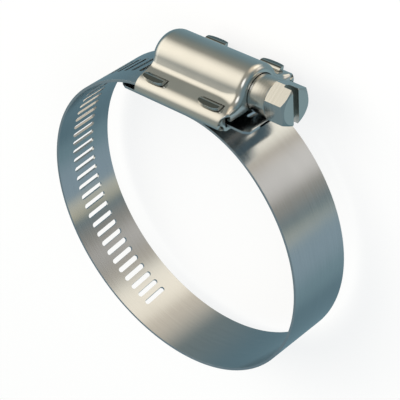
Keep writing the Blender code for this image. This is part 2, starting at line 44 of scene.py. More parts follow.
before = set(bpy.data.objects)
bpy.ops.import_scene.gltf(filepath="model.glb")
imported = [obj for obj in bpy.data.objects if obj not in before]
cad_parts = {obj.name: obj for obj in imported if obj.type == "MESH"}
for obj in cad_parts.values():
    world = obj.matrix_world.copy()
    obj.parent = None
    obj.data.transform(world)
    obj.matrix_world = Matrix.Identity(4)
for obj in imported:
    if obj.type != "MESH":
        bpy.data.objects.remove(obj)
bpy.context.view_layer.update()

MM = 0.001
RING_MIDDLE = np.array([0.0, -4.75, 11.75])    # where the middle of the ring lies
GAP = 0.3                       # between pieces that touch
WELD_REACH = 0.002              # points nearer than this are one

# Band
HOSE_RADIUS = 35.7
STRIP = 0.6
STRIP_WIDTH = 16.0
RING_RADIUS = HOSE_RADIUS + STRIP / 2
INNER_FLAT = 33.2               # height of the strip's middle under the saddle
OUTER_FLAT = 35.2               # and over it
INNER_SHOULDER = 26.0           # radii of the bends from the ring to the flats
OUTER_SHOULDER = 20.0
TONGUE_REACH = 11.5             # of the strip's ends from the middle, in and out
TAIL_REACH = 24.7
END_CHAMFER = (1.4, 0.7)        # what is cut off each corner, along and across
SLOT_COUNT = 47
SLOT_PITCH = 2.56
SLOT_LENGTH = 6.7
SLOT_WIDTH = 1.2
SLOT_FRAME = 0.9                # from a slot's end to the plain rows beside it
FIRST_SLOT = 3.7                # from the tail's end
BAND_TOP = OUTER_FLAT + STRIP / 2
UV_UNIT = 100.0                 # length of strip that makes 1 in its UV map

# Worm screw
WORM_RADIUS = 4.85
ENGAGEMENT = 0.45               # of the worm's crest in the strip
THREAD_DEPTH = 1.2
THREAD_SINK = 0.3               # of the ridge's foot in the core
CREST_WIDTH = 0.5
THREAD_FLANK = radians(16)
THREAD_FADE = 1 / 3             # of a turn, at either end
SCREW_AXIS = BAND_TOP - ENGAGEMENT + WORM_RADIUS
JOURNAL = (-3.75, 2.4)          # tip and radius
THREAD_SPAN = (-1.65, 18.75)
COLLAR_SPAN = (19.55, 25.7)
COLLAR_RADIUS = 4.1
SHAFT_ROUND = 0.25
HEX_ACROSS_FLATS = 8.0
HEX_LENGTH = 4.95
HEX_FRONT = COLLAR_SPAN[1] + HEX_LENGTH
HEX_TURN = radians(35)
HEX_CHAMFER = radians(30)
HEX_FACE_INSET = 0.3            # from the flats to the end face's round outline
HEX_SEAT_INSET = 0.02           # and to the face towards the collar
DRIVER_SLOT = (1.65, 2.3)       # width and depth

# Housing
SHEET = 0.75
BARREL_RADIUS = 5.9
BARREL_END = -4.8
BARREL_END_ROUND = 2.9
DOME_FOOT = BAND_TOP + 0.6
FLANGE_END = -3.1
HEAD_END = 21.3
HEAD_END_ROUND = 1.5
HEAD_ARCH = BAND_TOP + 2.0      # lower edge of the end wall
HOLE_RADIUS = COLLAR_RADIUS + 0.15
RAIL_END = 20.1                 # front end of the shoulder and the skirt
FLANGE_SLOPE = radians(16)
WALL_LEAN = radians(66)         # steepest turn of the barrel's wall
FOOT_ROUND = 1.8
FLARE_ROUND = 4.0
FLARE_LENGTH = 4.0
HALF_WIDTH = 11.75
RAIL_ROUND = 2.6                # of the shoulder's outer part
SHOULDER_ROUND = 3.6            # of its inner part
SHOULDER_SPLIT = radians(42)    # slope where one becomes the other
SKIRT_TOP = 36.8
SKIRT_FOOT = 35.9
CURL_ROUND = 0.9
CURL_LIP = 0.3

# Saddle
SADDLE_SHEET = 0.8
SADDLE_BEND = 0.5
SADDLE_FLOOR = 33.8
FLOOR_COLUMN = 4.0              # half width of the floor's middle column
WALL = (8.3, 9.1)               # inner and outer face
LUG_LENGTH = 5.6
LUG_CENTRES = (0.8, 16.2)
LUG_OVERHANG = 1.4
LUG_CORNER = (2.4, 0.8)         # radii along the screw and across it
LUG_BEND = 0.35
LUG_GAP = 0.15                  # round a lug in its slot and under it
LUG_SLOT = LUG_LENGTH / 2 + LUG_GAP    # half the length of a slot
LUG_COLUMNS = (0.33, 0.67, 1.0)        # shares of the way from a lug's bend to its edge

# Columns of half a section of the housing, and places of its plain rows along the barrel
BARREL_COLUMNS = 28
FOOT_COLUMNS = 12
SLOT_COLUMN = BARREL_COLUMNS + FOOT_COLUMNS + 1
SPLIT_COLUMN = SLOT_COLUMN + 1
RIM_COLUMNS = 34                # of the end wall, those that reach the hole's rim
BARREL_ROWS = (1.0, 4.5, 6.5, 8.5, 10.5, 12.5)

# Points along curves
BEND_POINTS = 9
SHOULDER_POINTS = (7, 10)       # along its inner and outer arc
DOME_POINTS = 11
FLARE_POINTS = 11
LUG_CORNER_POINTS = 10
ROUND_POINTS = 4

# Edges sharper than these are broken
SHEET_EDGES = radians(50)
BAR_EDGES = radians(28)


def linear(code):
    """An sRGB hex colour as linear red, green and blue."""
    values = np.array([int(code[k:k + 2], 16) for k in (1, 3, 5)]) / 255
    return tuple(np.where(values > 0.04045, ((values + 0.055) / 1.055) ** 2.4, values / 12.92))


def add_node(tree, kind, settings=None, **links):
    """A node of that kind, with its own options in settings. Each link names an input socket,
    with _ for a space or its number after an s, and gives a value or another node's output."""
    made = tree.nodes.new(kind)
    for name, value in (settings or {}).items():
        setattr(made, name, value)
    for name, value in links.items():
        key = int(name[1:]) if name[0] == "s" and name[1:].isdigit() else name.replace("_", " ")
        if isinstance(value, bpy.types.NodeSocket):
            tree.links.new(value, made.inputs[key])
        else:
            made.inputs[key].default_value = value
    return made


def arc(centre, radius, angles):
    """Points of an arc: its centre plus the radius along each angle, from +Y towards +Z."""
    return np.stack([centre[0] + radius * np.cos(angles), centre[1] + radius * np.sin(angles)], -1)


def grid_faces(rows, columns, keep=None):
    """Quads of a grid of points that is stored row by row, apart from those not kept."""
    index = np.arange(rows * columns).reshape(rows, columns)
    quads = np.stack([index[:-1, :-1], index[:-1, 1:], index[1:, 1:], index[1:, :-1]], -1)
    return quads[keep] if keep is not None else quads.reshape(-1, 4)


def grid(rows):
    """A (rows, columns, 3) grid of points with its quads."""
    return rows, grid_faces(*rows.shape[:2])


def joined(patches):
    """Several (points, faces) as one, their points numbered on and not yet merged."""
    points, faces, count = [], [], 0
    for patch_points, patch_faces in patches:
        flat = np.asarray(patch_points, float).reshape(-1, 3)
        points.append(flat)
        faces.append(np.asarray(patch_faces) + count)
        count += len(flat)
    return np.vstack(points), np.vstack(faces)


def both_halves(patches):
    """Patches of one half and their mirror image across the middle plane, as one."""
    points, faces = joined(patches)
    return joined([(points, faces), (points * (1, 1, -1), faces[:, ::-1])])


def build_mesh(name, points, faces):
    """A mesh of quads from points in millimetres about the middle of the ring."""
    mesh = bpy.data.meshes.new(name)
    mesh.from_pydata((points + RING_MIDDLE) * MM, [], faces.tolist())
    return mesh


def weld(mesh):
    """Merge the seams of a mesh and face it the same way all over, outwards if it is closed."""
    bm = bmesh.new()
    bm.from_mesh(mesh)
    bmesh.ops.remove_doubles(bm, verts=bm.verts, dist=WELD_REACH * MM)
    bmesh.ops.recalc_face_normals(bm, faces=bm.faces)
    bm.to_mesh(mesh)
    bm.free()


def face_towards(mesh, place):
    """Turn a whole open sheet so that the face nearest a place has it in front of it."""
    middles = np.empty(3 * len(mesh.polygons))
    mesh.polygons.foreach_get("center", middles)
    place = (np.array(place) + RING_MIDDLE) * MM
    offsets = place - middles.reshape(-1, 3)
    nearest = np.argmin((offsets**2).sum(1))
    if np.dot(offsets[nearest], mesh.polygons[nearest].normal) < 0:
        mesh.flip_normals()


def piece(mesh, body, node, material):
    """The mesh as a smooth piece that stands for the node and rides on its body."""
    mesh.shade_smooth()
    mesh.materials.clear()
    mesh.materials.append(material)
    made = bpy.data.objects.new(mesh.name, mesh)
    bpy.context.scene.collection.objects.link(made)
    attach(made, body)
    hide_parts(node)
    return made


def add_sheet(made, thickness, offset):
    """Give an open sheet its thickness."""
    modifier = made.modifiers.new("sheet", "SOLIDIFY")
    modifier.thickness = thickness * MM
    modifier.offset = offset
    modifier.use_even_offset = True


def add_edges(made, width, angle):
    """Round the edges that are sharper than the angle, by a width in metres."""
    modifier = made.modifiers.new("edges", "BEVEL")
    modifier.width = width
    modifier.segments = 2
    modifier.limit_method = "ANGLE"
    modifier.angle_limit = angle
    modifier.harden_normals = True
    modifier.use_clamp_overlap = True


# Band


def strip_bends():
    """The strip from its inner end to its tail, as (kind, place, radius, first angle, length):
    a straight from a point, or a clockwise arc about a centre."""
    def shoulder(flat, radius):
        reach = sqrt((RING_RADIUS - radius) ** 2 - (flat - radius) ** 2)
        return reach, atan2(flat - radius, reach)
    inner_x, inner_angle = shoulder(INNER_FLAT, INNER_SHOULDER)
    outer_x, outer_angle = shoulder(OUTER_FLAT, OUTER_SHOULDER)
    return [
        ("straight", (-TONGUE_REACH, INNER_FLAT), 0, 0, TONGUE_REACH + inner_x),
        ("arc", (inner_x, INNER_FLAT - INNER_SHOULDER), INNER_SHOULDER, pi / 2,
         INNER_SHOULDER * (pi / 2 - inner_angle)),
        ("arc", (0, 0), RING_RADIUS, inner_angle, RING_RADIUS * (pi + inner_angle + outer_angle)),
        ("arc", (-outer_x, OUTER_FLAT - OUTER_SHOULDER), OUTER_SHOULDER, pi - outer_angle,
         OUTER_SHOULDER * (pi / 2 - outer_angle)),
        ("straight", (-outer_x, OUTER_FLAT), 0, 0, TAIL_REACH + outer_x),
    ]


def strip_length():
    """Developed length of the strip."""
    return sum(bend[-1] for bend in strip_bends())


def bend_strip(flat):
    """Carry points (distance along the strip, distance across it) onto the bent strip: along
    each straight in a line, along each arc by an angle of distance over radius."""
    along, across = flat[:, 0], flat[:, 1]
    points = np.zeros((len(flat), 3))
    points[:, 2] = across
    start = 0.0
    for kind, place, radius, first, length in strip_bends():
        here = along >= start - 1e-9
        done = along[here] - start
        if kind == "straight":
            points[here, 0] = place[0] + done
            points[here, 1] = place[1]
        else:
            angle = first - done / radius
            points[here, 0] = place[0] + radius * np.cos(angle)
            points[here, 1] = place[1] + radius * np.sin(angle)
        start += length
    return points


def slot_cells():
    """The slotted stretch as (flat points, faces). Each slot is a ring of quads between its own
    outline, two straight sides and two half circles that lean with the thread, and a
    rectangle one pitch long; two rows of quads go on from that to either edge."""
    side_steps, end_steps = 8, 10
    half = SLOT_LENGTH / 2 - SLOT_WIDTH / 2
    frame_half = SLOT_LENGTH / 2 + SLOT_FRAME
    turns = np.linspace(0, pi, end_steps + 1)
    side = np.linspace(-half, half, side_steps + 1)[:-1]
    right = np.stack([np.full(side_steps, SLOT_WIDTH / 2), side], 1)
    top = np.stack([np.cos(turns), np.sin(turns)], 1)[:-1] * SLOT_WIDTH / 2 + (0, half)
    slot = np.vstack([right, top, -right, -top])
    slot[:, 0] -= slot[:, 1] * SLOT_PITCH / (2 * pi * (WORM_RADIUS - ENGAGEMENT))
    edge = np.linspace(-frame_half, frame_half, side_steps + 1)
    run = np.linspace(SLOT_PITCH / 2, -SLOT_PITCH / 2, end_steps + 1)
    right = np.stack([np.full(side_steps, SLOT_PITCH / 2), edge[:-1]], 1)
    top = np.stack([run[:-1], np.full(end_steps, frame_half)], 1)
    outer = np.vstack([right, top, -right, -top])
    middle_share = 0.35
    middle = slot + (outer - slot) * middle_share
    rows = [np.vstack([np.vstack([ring, ring[:1]]) for ring in (slot, middle, outer)])]
    faces = [grid_faces(3, len(slot) + 1)]
    for sign in (-1, 1):
        across = sign * np.array([frame_half, (frame_half + STRIP_WIDTH / 2) / 2, STRIP_WIDTH / 2])
        patch = np.stack(np.broadcast_arrays(run[None, :], across[:, None]), -1).reshape(-1, 2)
        faces.append(grid_faces(3, end_steps + 1) + sum(map(len, rows)))
        rows.append(patch)
    cell, cell_faces = np.vstack(rows), np.vstack(faces)
    centres = strip_length() - FIRST_SLOT - SLOT_PITCH * np.arange(SLOT_COUNT)
    flat = cell[None] + np.stack([centres, np.zeros(SLOT_COUNT)], 1)[:, None]
    all_faces = cell_faces[None] + (np.arange(SLOT_COUNT) * len(cell))[:, None, None]
    return flat.reshape(-1, 2), all_faces.reshape(-1, 4), edge


def plain_stretch(start, stop, edge, step):
    """A stretch without slots as (flat points, faces): a grid whose rows have their points
    where the slotted cells' edges have them. The corners are cut off at the strip's two ends."""
    ends = [s for s in (END_CHAMFER[0], strip_length() - END_CHAMFER[0]) if start < s < stop]
    along = np.unique(np.concatenate([np.arange(start, stop, step), [stop], ends]))
    half = STRIP_WIDTH / 2
    outside = np.array([(edge[-1] + half) / 2, half])
    across = np.concatenate([-outside[::-1], edge, outside])
    flat = np.stack(np.broadcast_arrays(along[:, None], across[None, :]), -1).copy()
    from_end = np.minimum(along, strip_length() - along)
    cut = END_CHAMFER[1] * np.clip(1 - from_end / END_CHAMFER[0], 0, 1)
    flat[:, 0, 1] += cut
    flat[:, -1, 1] -= cut
    return flat.reshape(-1, 2), grid_faces(len(along), len(across))


def make_band(context):
    """The strip: its middle sheet, bent, with a UV map of its flat length and width, then its
    thickness and its broken edges."""
    settings = context.scene.clamp_band
    cells, cell_faces, edge = slot_cells()
    first_cell = strip_length() - FIRST_SLOT + SLOT_PITCH / 2
    last_cell = first_cell - SLOT_COUNT * SLOT_PITCH
    patches = [
        (cells, cell_faces),
        plain_stretch(0.0, last_cell, edge, step=1.2),
        plain_stretch(first_cell, strip_length(), edge, step=0.8),
    ]
    flat, faces = joined([(np.column_stack([p, np.zeros(len(p))]), f) for p, f in patches])
    mesh = build_mesh("slotted_band", bend_strip(flat[:, :2]), faces)
    layer = mesh.uv_layers.new(name="strip")
    corners = np.empty(len(mesh.loops), int)
    mesh.loops.foreach_get("vertex_index", corners)
    layer.data.foreach_set("uv", (flat[corners, :2] / UV_UNIT).ravel())
    weld(mesh)
    face_towards(mesh, (RING_RADIUS * 2, 0, 0))
    band = piece(mesh, "clamp", "band", brushed_strip(settings))
    add_sheet(band, STRIP, 0.0)
    add_edges(band, settings.edge, SHEET_EDGES)
    return band


# Housing


def shoulder_centres():
    """Centres of the shoulder's outer and inner arc, which touch where they meet."""
    outer = np.array([SKIRT_TOP, HALF_WIDTH - RAIL_ROUND])
    meet = np.array([cos(SHOULDER_SPLIT), sin(SHOULDER_SPLIT)])
    return outer, outer - (SHOULDER_ROUND - RAIL_ROUND) * meet


def flange_line():
    """Distance of the flange's line from the ring's middle."""
    inner = shoulder_centres()[1]
    return inner[0] * cos(FLANGE_SLOPE) + inner[1] * sin(FLANGE_SLOPE) + SHOULDER_ROUND


def flange_height(across):
    """Height of the flange's upper face at a distance from the middle plane: a straight line
    that slopes down outwards and touches the shoulder."""
    return (flange_line() - sin(FLANGE_SLOPE) * across) / cos(FLANGE_SLOPE)


def housing_sections(radius, foot):
    """Sections of the outer face for arrays of barrel and foot radii: an arc about the screw's
    axis, a straight wall that leaves it where it has turned far enough, a hollow arc that
    touches the wall and the flange's line, the line, a round shoulder, the skirt, and the curl
    under it. Returns (rows, columns, 2) points and outward normals."""
    radius, foot = np.broadcast_arrays(np.atleast_1d(radius), np.atleast_1d(foot))
    radius, foot = radius[:, None], foot[:, None]
    normal = np.array([cos(FLANGE_SLOPE), sin(FLANGE_SLOPE)])
    up = flange_line() + foot - SCREW_AXIS * normal[0]
    touch = FLANGE_SLOPE + np.arccos(up / (radius + foot))
    wall = np.minimum(touch, WALL_LEAN)
    spread = np.sin(wall - FLANGE_SLOPE)
    centre_y = SCREW_AXIS + (np.sin(wall) * up - normal[1] * (radius + foot)) / spread
    centre_z = (normal[0] * (radius + foot) - np.cos(wall) * up) / spread
    angles = wall * np.linspace(0, 1, BARREL_COLUMNS + 1)[None]
    barrel = arc((SCREW_AXIS, 0.0), radius, angles)
    barrel_normal = np.stack([np.cos(angles), np.sin(angles)], -1)
    angles = wall + pi + (FLANGE_SLOPE - wall) * np.linspace(0, 1, FOOT_COLUMNS + 1)[None, 1:]
    hollow = arc((centre_y, centre_z), foot, angles)
    hollow_normal = -np.stack([np.cos(angles), np.sin(angles)], -1)
    places = np.array([WALL[0] - LUG_GAP, WALL[1] + GAP])
    line = np.stack([flange_height(places), places], -1)
    outer, inner = shoulder_centres()
    inner_turns = np.linspace(FLANGE_SLOPE, SHOULDER_SPLIT, SHOULDER_POINTS[0])
    outer_turns = np.linspace(SHOULDER_SPLIT, pi / 2, SHOULDER_POINTS[1])[1:]
    turns = np.concatenate([inner_turns, outer_turns])
    shoulder = np.vstack([arc(inner, SHOULDER_ROUND, inner_turns),
                          arc(outer, RAIL_ROUND, outer_turns)])
    curl_turns = np.linspace(pi / 2, pi, BEND_POINTS)[1:]
    curl = arc((SKIRT_FOOT + CURL_ROUND, HALF_WIDTH - CURL_ROUND), CURL_ROUND, curl_turns)
    lip = curl[-1:] - (0.0, CURL_LIP)
    fixed = np.vstack([line, shoulder, curl, lip])
    fixed_normal = np.vstack([
        np.tile(normal, (2, 1)),
        np.stack([np.cos(turns), np.sin(turns)], -1),
        np.stack([np.cos(curl_turns), np.sin(curl_turns)], -1),
        [[-1.0, 0.0]],
    ])
    rows = len(radius)
    points = np.concatenate([barrel, hollow, np.tile(fixed, (rows, 1, 1))], 1)
    normals = np.concatenate([barrel_normal, hollow_normal, np.tile(fixed_normal, (rows, 1, 1))], 1)
    return points, normals


def lift(x, sections):
    """Sections of (y, z) as (rows, columns, 3) points, at one x or one for each row or point."""
    x = np.broadcast_to(x, sections.shape[:2])
    return np.concatenate([x[..., None], sections], -1)


def flare(x):
    """Radius of the hollow foot: it grows with the square of the way to the end wall."""
    share = np.clip(1 - (HEAD_END - HEAD_END_ROUND - x) / FLARE_LENGTH, 0, 1)
    return FOOT_ROUND + (FLARE_ROUND - FOOT_ROUND) * share**2


def barrel_round(x):
    """Radius of the barrel near its closed end: a quarter circle's fall."""
    rise = np.clip(1 - (x - BARREL_END) / BARREL_END_ROUND, 0, 1)
    return BARREL_RADIUS - BARREL_END_ROUND * (1 - np.sqrt(1 - rise**2))


def in_lug_slot(x):
    """Whether each x lies between the ends of a lug's slot."""
    return np.any([np.abs(x - centre) < LUG_SLOT for centre in LUG_CENTRES], axis=0)


def front_edge(across):
    """Where the sheet ends in front at each distance from the middle plane, and the radius that
    it is rolled down with there: it runs back, and the roll dies out, over the shoulder."""
    def smooth(start, stop):
        share = np.clip((across - start) / (stop - start), 0, 1)
        return share**2 * (3 - 2 * share)
    front = HEAD_END - (HEAD_END - RAIL_END) * smooth(WALL[1] + GAP, HALF_WIDTH)
    return front, HEAD_END_ROUND * (1 - smooth(WALL[0] - 1, HALF_WIDTH))


def slot_ends():
    """Both ends of each lug slot along the screw."""
    return [centre + side * LUG_SLOT for centre in LUG_CENTRES for side in (-1, 1)]


def housing_length():
    """The housing's outer face between its two ends, with the lug slots left out. Towards the
    front each column is stretched or shortened to end where the front edge's roll starts.
    Returns the patch and the roll's radius for each column."""
    head = HEAD_END - HEAD_END_ROUND
    closed_end = np.linspace(FLANGE_END, BARREL_END + BARREL_END_ROUND, BEND_POINTS)
    flared = np.linspace(head - FLARE_LENGTH, head, FLARE_POINTS)
    x = np.unique(np.concatenate([closed_end, BARREL_ROWS, flared, slot_ends()]).round(6))
    sections, _ = housing_sections(barrel_round(x), flare(x))
    keep = np.ones((len(x) - 1, sections.shape[1] - 1), bool)
    keep[in_lug_slot((x[1:] + x[:-1]) / 2), SLOT_COLUMN] = False
    front, roll = front_edge(sections[-1, :, 1])
    share = np.clip((x - slot_ends()[-1]) / (head - slot_ends()[-1]), 0, 1)[:, None]
    places = x[:, None] + share * (front - roll - head)
    return (lift(places, sections), grid_faces(*sections.shape[:2], keep)), front, roll


def front_wall(front, roll):
    """The front edge, rolled down by its radius, and the end wall under the barrel with the
    hole for the screw: its rim follows the barrel's turns and ends at the wall's lower edge."""
    sections, normals = housing_sections(BARREL_RADIUS, FLARE_ROUND)
    turns = np.linspace(0, pi / 2, BEND_POINTS)[:, None]
    rounded = sections - normals * (roll * (1 - np.cos(turns)))[..., None]
    rolled = lift(front - roll * (1 - np.sin(turns)), rounded)

    outside = rounded[-1, : SPLIT_COLUMN + 1]
    last_angle = acos((HEAD_ARCH - SCREW_AXIS) / HOLE_RADIUS)
    turns = np.arctan2(outside[:, 1], outside[:, 0] - SCREW_AXIS)[: BARREL_COLUMNS + 1]
    rest = np.linspace(turns[-1], last_angle, RIM_COLUMNS - BARREL_COLUMNS + 1)[1:]
    rim = arc((SCREW_AXIS, 0.0), HOLE_RADIUS, np.concatenate([turns, rest]))
    corner = np.array([HEAD_ARCH, outside[-1, 1]])
    share = np.linspace(0, 1, SPLIT_COLUMN - RIM_COLUMNS + 1)[1:, None]
    inside = np.vstack([rim, rim[-1] + (corner - rim[-1]) * share])
    return [grid(rolled), grid(lift(HEAD_END, np.stack([outside, inside])))]


def dome():
    """The barrel's closed end beyond the flange: circles about the screw's axis that shrink by
    a quarter circle's fall, sides straight down from them, and the flat end."""
    first = np.arcsin(1 - (FLANGE_END - BARREL_END) / BARREL_END_ROUND)
    turns = np.linspace(first, pi / 2, DOME_POINTS)
    x = BARREL_END + BARREL_END_ROUND * (1 - np.sin(turns))
    radii = BARREL_RADIUS - BARREL_END_ROUND * (1 - np.cos(turns))
    start, _ = housing_sections(radii[:1], FOOT_ROUND)
    start = start[0, : BARREL_COLUMNS + 1]
    angles = np.arctan2(start[:, 1], start[:, 0] - SCREW_AXIS)
    upper = arc((SCREW_AXIS, 0.0), radii[:, None], np.tile(angles, (len(radii), 1)))
    lower = np.stack([np.stack([np.full(len(radii), height), radii], -1)
                      for height in (SCREW_AXIS, DOME_FOOT)], 1)
    circles = np.concatenate([upper, lower], 1)
    flat = np.stack([circles[-1], circles[-1] * (1, 0)])
    return [grid(lift(x[:, None], circles)), grid(lift(BARREL_END, flat))]


def make_housing(context):
    """The pressed shell: half its outer face, mirrored, thickened inwards, edges broken."""
    settings = context.scene.clamp_housing
    length, front, roll = housing_length()
    shell = both_halves([length, *front_wall(front, roll), *dome()])
    mesh = build_mesh("pressed_housing", *shell)
    weld(mesh)
    face_towards(mesh, (8, SCREW_AXIS + 3 * BARREL_RADIUS, 0))
    housing = piece(mesh, "clamp", "housing", drawn_sheet(settings))
    add_sheet(housing, SHEET, -1.0)
    add_edges(housing, settings.edge, SHEET_EDGES)
    return housing


# Saddle


def saddle_sections(x, lug_edge):
    """Half sections of the lower and outer face, from the middle of the floor up the wall: a
    line, a quarter circle, a line, and for a lug a hollow arc on to the flange's slope and a
    line down it to the lug's edge."""
    bend = SADDLE_BEND + SADDLE_SHEET
    turns = np.linspace(pi, pi / 2, BEND_POINTS)
    floor = np.array([[SADDLE_FLOOR, 0.0], [SADDLE_FLOOR, FLOOR_COLUMN]])
    corner = arc((SADDLE_FLOOR + bend, WALL[1] - bend), bend, turns)
    wall_top = flange_height(WALL[1]) - SHEET / cos(FLANGE_SLOPE) - GAP
    fixed = [floor, corner, [[wall_top, WALL[1]]]]
    if lug_edge is not None:
        lift_off = LUG_GAP / cos(FLANGE_SLOPE)
        bend_end = WALL[1] + LUG_BEND * (1 + sin(FLANGE_SLOPE))
        height = flange_height(bend_end) + lift_off - LUG_BEND * cos(FLANGE_SLOPE)
        turns = np.linspace(-pi / 2, FLANGE_SLOPE, BEND_POINTS)
        fixed.append(arc((height, WALL[1] + LUG_BEND), LUG_BEND, turns))
    section = np.tile(np.vstack(fixed), (len(x), 1, 1))
    if lug_edge is not None:
        reach = bend_end + (lug_edge[:, None] - bend_end) * np.array(LUG_COLUMNS)
        tip = np.stack([flange_height(reach) + lift_off, reach], -1)
        section = np.concatenate([section, tip], 1)
    return lift(x[:, None], section)


def saddle_sheet():
    """The lower face of half the saddle: two stretches with lugs and the one between them."""
    patches = []
    half = LUG_LENGTH / 2
    corner = LUG_CORNER[0] * (1 - np.cos(np.linspace(0, pi / 2, LUG_CORNER_POINTS)))
    for centre in LUG_CENTRES:
        start, stop = centre - half, centre + half
        x = np.concatenate([start + corner, (stop - corner)[::-1]])
        share = np.clip(1 - np.minimum(x - start, stop - x) / LUG_CORNER[0], 0, 1)
        fall = LUG_CORNER[1] * (1 - np.sqrt(1 - share**2))
        patches.append(grid(saddle_sections(x, WALL[1] + LUG_OVERHANG - fall)))
    between = np.array([LUG_CENTRES[0] + half, LUG_CENTRES[1] - half])
    return [*patches, grid(saddle_sections(between, None))]


def make_saddle(context):
    """The folded channel with its four lugs: its lower face, mirrored and thickened inwards."""
    settings = context.scene.clamp_housing
    mesh = build_mesh("folded_saddle", *both_halves(saddle_sheet()))
    weld(mesh)
    face_towards(mesh, (8, SADDLE_FLOOR - 10, 0))
    saddle = piece(mesh, "clamp", "saddle", folded_sheet(settings))
    add_sheet(saddle, SADDLE_SHEET, -1.0)
    add_edges(saddle, settings.edge, SHEET_EDGES)
    return saddle


# Worm screw


def turned(profile, steps=96):
    """A surface of revolution about the screw's axis, closed at both ends: each (x, radius) of
    the profile carried round a full circle."""
    profile = np.asarray(profile, float)
    angles = np.linspace(0, 2 * pi, steps + 1)
    x = np.broadcast_to(profile[:, :1], (len(profile), len(angles)))
    y = SCREW_AXIS + profile[:, 1:] * np.cos(angles)
    z = profile[:, 1:] * np.sin(angles)
    return grid(np.stack([x, y, z], -1))


def shaft_end(end, side, radius):
    """Profile of the small round at a shaft's end, a quarter circle, with x rising: side is -1
    for the shaft's back end and 1 for its front end."""
    turns = np.linspace(0, pi / 2, ROUND_POINTS)
    x = end - side * SHAFT_ROUND * (1 - np.sin(turns))
    profile = np.stack([x, radius - SHAFT_ROUND * (1 - np.cos(turns))], -1)
    return profile[::side]


def shank():
    """Journal, core and collar as one turned profile."""
    core = WORM_RADIUS - THREAD_DEPTH
    tip, journal = JOURNAL
    back, front = COLLAR_SPAN
    return turned(np.vstack([
        [(tip, 0.0)], shaft_end(tip, -1, journal), [(THREAD_SPAN[0], journal)],
        [(THREAD_SPAN[0], core), (back, core)], shaft_end(back, -1, COLLAR_RADIUS),
        shaft_end(front, 1, COLLAR_RADIUS), [(front, 0.0)],
    ]))


def thread(steps=64):
    """The worm's ridge: a trapezium carried along a right-hand helix, x = phase + pitch times
    turns, that rises out of the core over a third of a turn at either end."""
    foot = WORM_RADIUS - THREAD_DEPTH - THREAD_SINK
    half_crest = CREST_WIDTH / 2
    half_base = half_crest + (THREAD_DEPTH + THREAD_SINK) * tan(THREAD_FLANK)
    phase = TAIL_REACH - FIRST_SLOT - SLOT_PITCH / 2
    start = (THREAD_SPAN[0] + half_base - phase) / SLOT_PITCH
    stop = (THREAD_SPAN[1] - half_base - phase) / SLOT_PITCH
    turns = np.append(np.arange(start, stop, 1 / steps), stop)[:, None]
    rise = np.clip(np.minimum(turns - start, stop - turns) / THREAD_FADE, 0, 1)
    crest = foot + THREAD_SINK / 2 + (THREAD_SINK / 2 + THREAD_DEPTH) * rise
    radius = np.hstack([np.full_like(crest, foot), crest, crest, np.full_like(crest, foot)])
    offset = np.array([[-half_base, -half_crest, half_crest, half_base]])
    x = phase + SLOT_PITCH * turns + offset
    y = SCREW_AXIS + radius * np.cos(2 * pi * turns)
    z = radius * np.sin(2 * pi * turns)
    rows = np.stack([x, y, z], -1)
    return grid(np.concatenate([rows, rows[:, :1]], 1))


def head(steps_a_side=16):
    """The hexagon head as rings about the axis: the radius of a six-sided prism, the flat's
    distance over the cosine of the angle from its middle, under a cone at either end."""
    flat = HEX_ACROSS_FLATS / 2
    face, seat = flat - HEX_FACE_INSET, flat - HEX_SEAT_INSET
    back = COLLAR_SPAN[1]
    angles = np.linspace(0, 2 * pi, 6 * steps_a_side + 1)
    side = (angles + pi / 6) % (pi / 3) - pi / 6
    radius = flat / np.cos(side)
    back_fall = (radius - flat) * tan(HEX_CHAMFER)
    front_fall = (radius - face) * tan(HEX_CHAMFER)
    rings = [(back, 0), (back, seat), (back + back_fall, radius),
             (HEX_FRONT - front_fall, radius), (HEX_FRONT, face), (HEX_FRONT, 0)]
    x, reach = (np.stack([np.broadcast_to(ring[k], radius.shape) for ring in rings])
                for k in (0, 1))
    turn = angles + HEX_TURN
    return grid(np.stack([x, SCREW_AXIS + reach * np.cos(turn), reach * np.sin(turn)], -1))


def cut(mesh, place, size):
    """The mesh less a block, both in millimetres about the middle of the ring."""
    block = bpy.data.meshes.new("cut")
    bm = bmesh.new()
    centre = (Vector(place) + Vector(RING_MIDDLE)) * MM
    bmesh.ops.create_cube(bm, size=1.0, matrix=Matrix.LocRotScale(centre, None, Vector(size) * MM))
    bm.to_mesh(block)
    bm.free()
    whole = bpy.data.objects.new("whole", mesh)
    cutter = bpy.data.objects.new("cutter", block)
    for made in (whole, cutter):
        bpy.context.scene.collection.objects.link(made)
    modifier = whole.modifiers.new("cut", "BOOLEAN")
    modifier.object = cutter
    modifier.solver = "EXACT"
    evaluated = whole.evaluated_get(bpy.context.evaluated_depsgraph_get())
    left = bpy.data.meshes.new_from_object(evaluated)
    left.name = mesh.name
    for made in (whole, cutter):
        bpy.data.objects.remove(made, do_unlink=True)
    return left


def make_worm_screw(context):
    """The turned shank, the thread wound on it, and the head with its driver's slot."""
    settings = context.scene.clamp_screw
    hexagon = build_mesh("hexagon", *joined([head()]))
    weld(hexagon)
    width, depth = DRIVER_SLOT
    hexagon = cut(hexagon, (HEX_FRONT, SCREW_AXIS, 0), (2 * depth, 2 * HEX_ACROSS_FLATS, width))
    shaft = build_mesh("shaft", *joined([shank(), thread()]))
    weld(shaft)
    bm = bmesh.new()
    bm.from_mesh(shaft)
    bm.from_mesh(hexagon)
    mesh = bpy.data.meshes.new("turned_worm_screw")
    bm.to_mesh(mesh)
    bm.free()
    screw = piece(mesh, "screw", "worm_screw", turned_bar(settings))
    add_edges(screw, settings.edge, BAR_EDGES)
    return screw


# Finishes

NOISE_SPAN = (0.3, 0.7)         # where nearly all values of a noise lie


def new_finish(name):
    """An empty material and its node tree, with the surface to fill in."""
    material = bpy.data.materials.new(name)
    material.use_nodes = True
    tree = material.node_tree
    tree.nodes.clear()
    return material, tree


